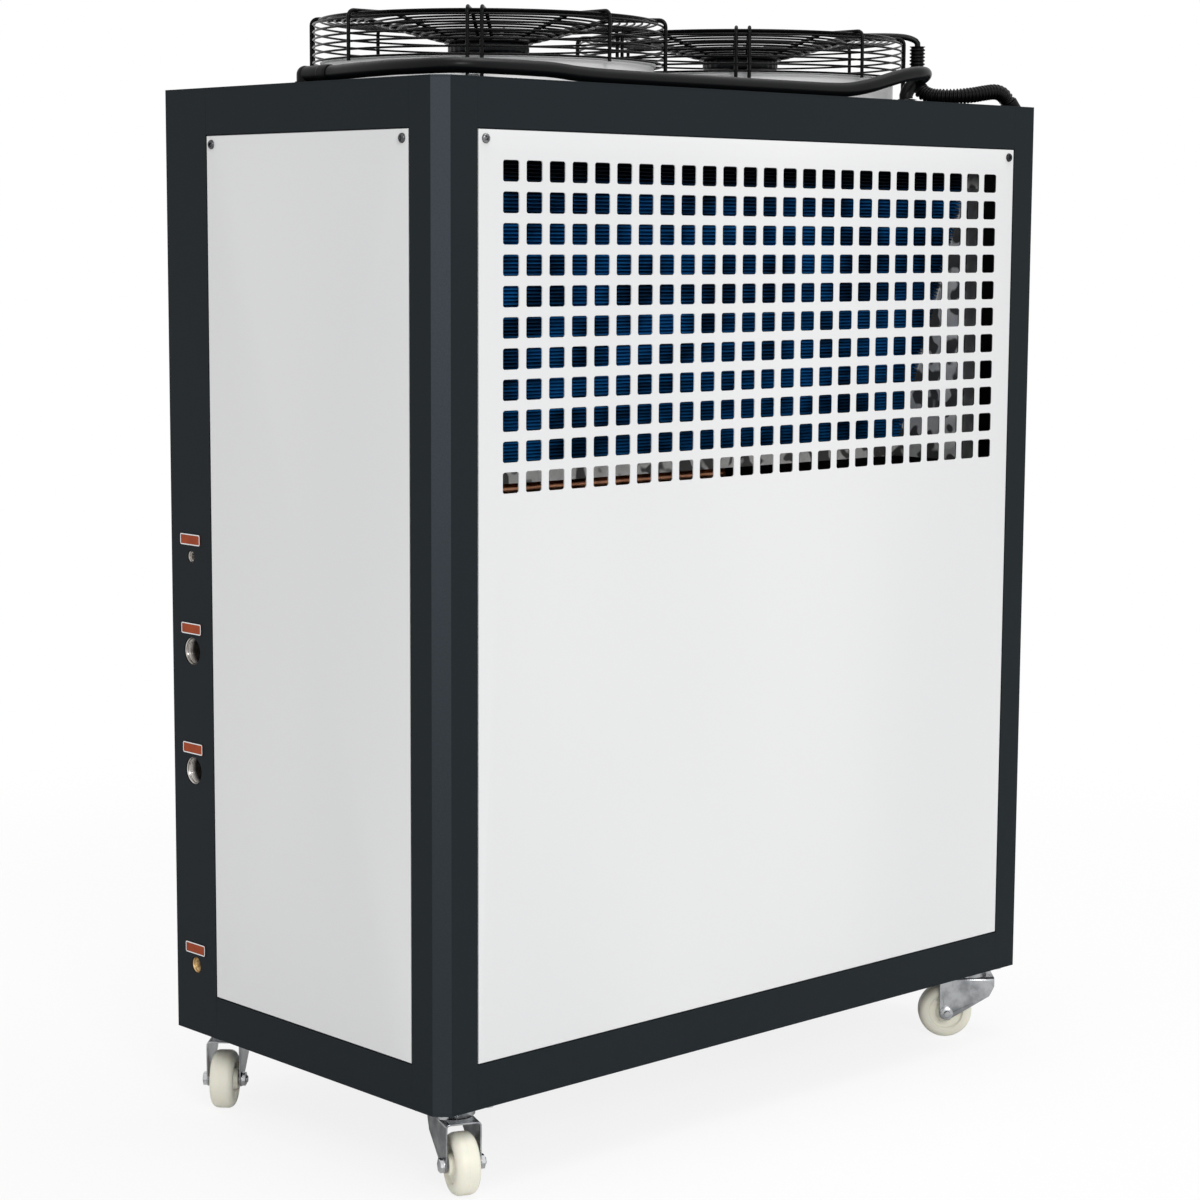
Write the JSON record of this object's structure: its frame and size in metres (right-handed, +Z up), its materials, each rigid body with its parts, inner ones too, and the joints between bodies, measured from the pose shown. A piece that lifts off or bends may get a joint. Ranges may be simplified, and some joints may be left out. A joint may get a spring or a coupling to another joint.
{
  "type": "air cooled water chiller",
  "caption": "Upright air cooled water chiller on swivel casters: slate frame, white panels, perforated front over a V condenser, and top fans under wire guards.",
  "frame": {"origin": "on the floor under the middle of the cabinet", "axes": "+X to the right along the perforated front, +Y to the back, +Z up; the front faces -Y"},
  "size_m": [1.071, 0.59, 1.4017],
  "materials": {
    "frame_paint": "satin slate powder coat",
    "panel_white": "satin white powder coat",
    "ring_white": "white paint",
    "guard_black": "gloss black coat on wire",
    "motor_grey": "dark grey paint",
    "blade_black": "black paint on sheet blades",
    "fin_blue": "blue coated fins",
    "galvanised": "galvanised sheet",
    "copper": "drawn copper tube",
    "fitting_steel": "plated pipe fitting",
    "fitting_brass": "turned brass",
    "label_copper": "bare copper coloured plate",
    "zinc": "zinc plated sheet",
    "bolt_zinc": "zinc plated bolt",
    "wheel_nylon": "cream nylon",
    "gland_black": "black nylon",
    "sleeve_black": "black rubber sleeve",
    "conduit_black": "black corrugated plastic"
  },
  "bodies": {
    "cabinet": {"post_front_left": "frame_paint", "post_front_right": "frame_paint", "post_rear_left": "frame_paint", "post_rear_right": "frame_paint", "front_rails": "frame_paint", "right_rails": "frame_paint", "rear_rails": "frame_paint", "left_rails": "frame_paint", "top_deck": "frame_paint", "floor_plate": "frame_paint", "front_panel": "panel_white", "right_panel": "panel_white", "rear_panel": "panel_white", "left_panel": "panel_white", "fan_ring_left": "ring_white", "fan_ring_right": "ring_white", "fan_guard_left": "guard_black", "fan_guard_right": "guard_black", "fan_motor_left": "motor_grey", "fan_motor_right": "motor_grey", "coil_front": "fin_blue", "coil_rear": "fin_blue", "coil_frame_front": "galvanised", "coil_frame_rear": "galvanised", "liquid_line": "copper", "fill_inlet": "fitting_steel", "water_inlet": "fitting_steel", "water_outlet": "fitting_steel", "drain_outlet": "fitting_brass", "label_plates": "label_copper", "caster_plates": "zinc", "cable_glands": "gland_black", "cable_sleeve": "sleeve_black", "fan_lead": "sleeve_black", "fan_conduit": "conduit_black"},
    "left_impeller": {"fan_rotor_left": "blade_black"},
    "right_impeller": {"fan_rotor_right": "blade_black"},
    "caster_fl": {"fork_fl": "zinc", "axle_fl": "bolt_zinc"},
    "roller_fl": {"wheel_fl": "wheel_nylon"},
    "caster_fr": {"fork_fr": "zinc", "axle_fr": "bolt_zinc"},
    "roller_fr": {"wheel_fr": "wheel_nylon"},
    "caster_rl": {"fork_rl": "zinc", "axle_rl": "bolt_zinc"},
    "roller_rl": {"wheel_rl": "wheel_nylon"},
    "caster_rr": {"fork_rr": "zinc", "axle_rr": "bolt_zinc"},
    "roller_rr": {"wheel_rr": "wheel_nylon"}
  },
  "joints": [
    {"name": "left_fan_spin", "type": "hinge", "parent": "cabinet", "child": "left_impeller", "pos_m": [-0.226, 0, 1.304], "axis": [0, 0, 1], "continuous": true},
    {"name": "right_fan_spin", "type": "hinge", "parent": "cabinet", "child": "right_impeller", "pos_m": [0.226, 0, 1.304], "axis": [0, 0, 1], "continuous": true},
    {"name": "caster_fl_swivel", "type": "hinge", "parent": "cabinet", "child": "caster_fl", "pos_m": [-0.477, -0.228, 0.104], "axis": [0, 0, 1], "continuous": true},
    {"name": "wheel_fl_roll", "type": "hinge", "parent": "caster_fl", "child": "roller_fl", "pos_m": [-0.4895, -0.25746, 0.0375], "axis": [0.9205, -0.3907, 0], "continuous": true},
    {"name": "caster_fr_swivel", "type": "hinge", "parent": "cabinet", "child": "caster_fr", "pos_m": [0.477, -0.228, 0.104], "axis": [0, 0, 1], "continuous": true},
    {"name": "wheel_fr_roll", "type": "hinge", "parent": "caster_fr", "child": "roller_fr", "pos_m": [0.4536, -0.20618, 0.0375], "axis": [-0.682, -0.7314, 0], "continuous": true},
    {"name": "caster_rl_swivel", "type": "hinge", "parent": "cabinet", "child": "caster_rl", "pos_m": [-0.477, 0.228, 0.104], "axis": [0, 0, 1], "continuous": true},
    {"name": "wheel_rl_roll", "type": "hinge", "parent": "caster_rl", "child": "roller_rl", "pos_m": [-0.50002, 0.20577, 0.0375], "axis": [0.6947, -0.7193, 0], "continuous": true},
    {"name": "caster_rr_swivel", "type": "hinge", "parent": "cabinet", "child": "caster_rr", "pos_m": [0.477, 0.228, 0.104], "axis": [0, 0, 1], "continuous": true},
    {"name": "wheel_rr_roll", "type": "hinge", "parent": "caster_rr", "child": "roller_rr", "pos_m": [0.4895, 0.25746, 0.0375], "axis": [-0.9205, 0.3907, 0], "continuous": true}
  ]
}
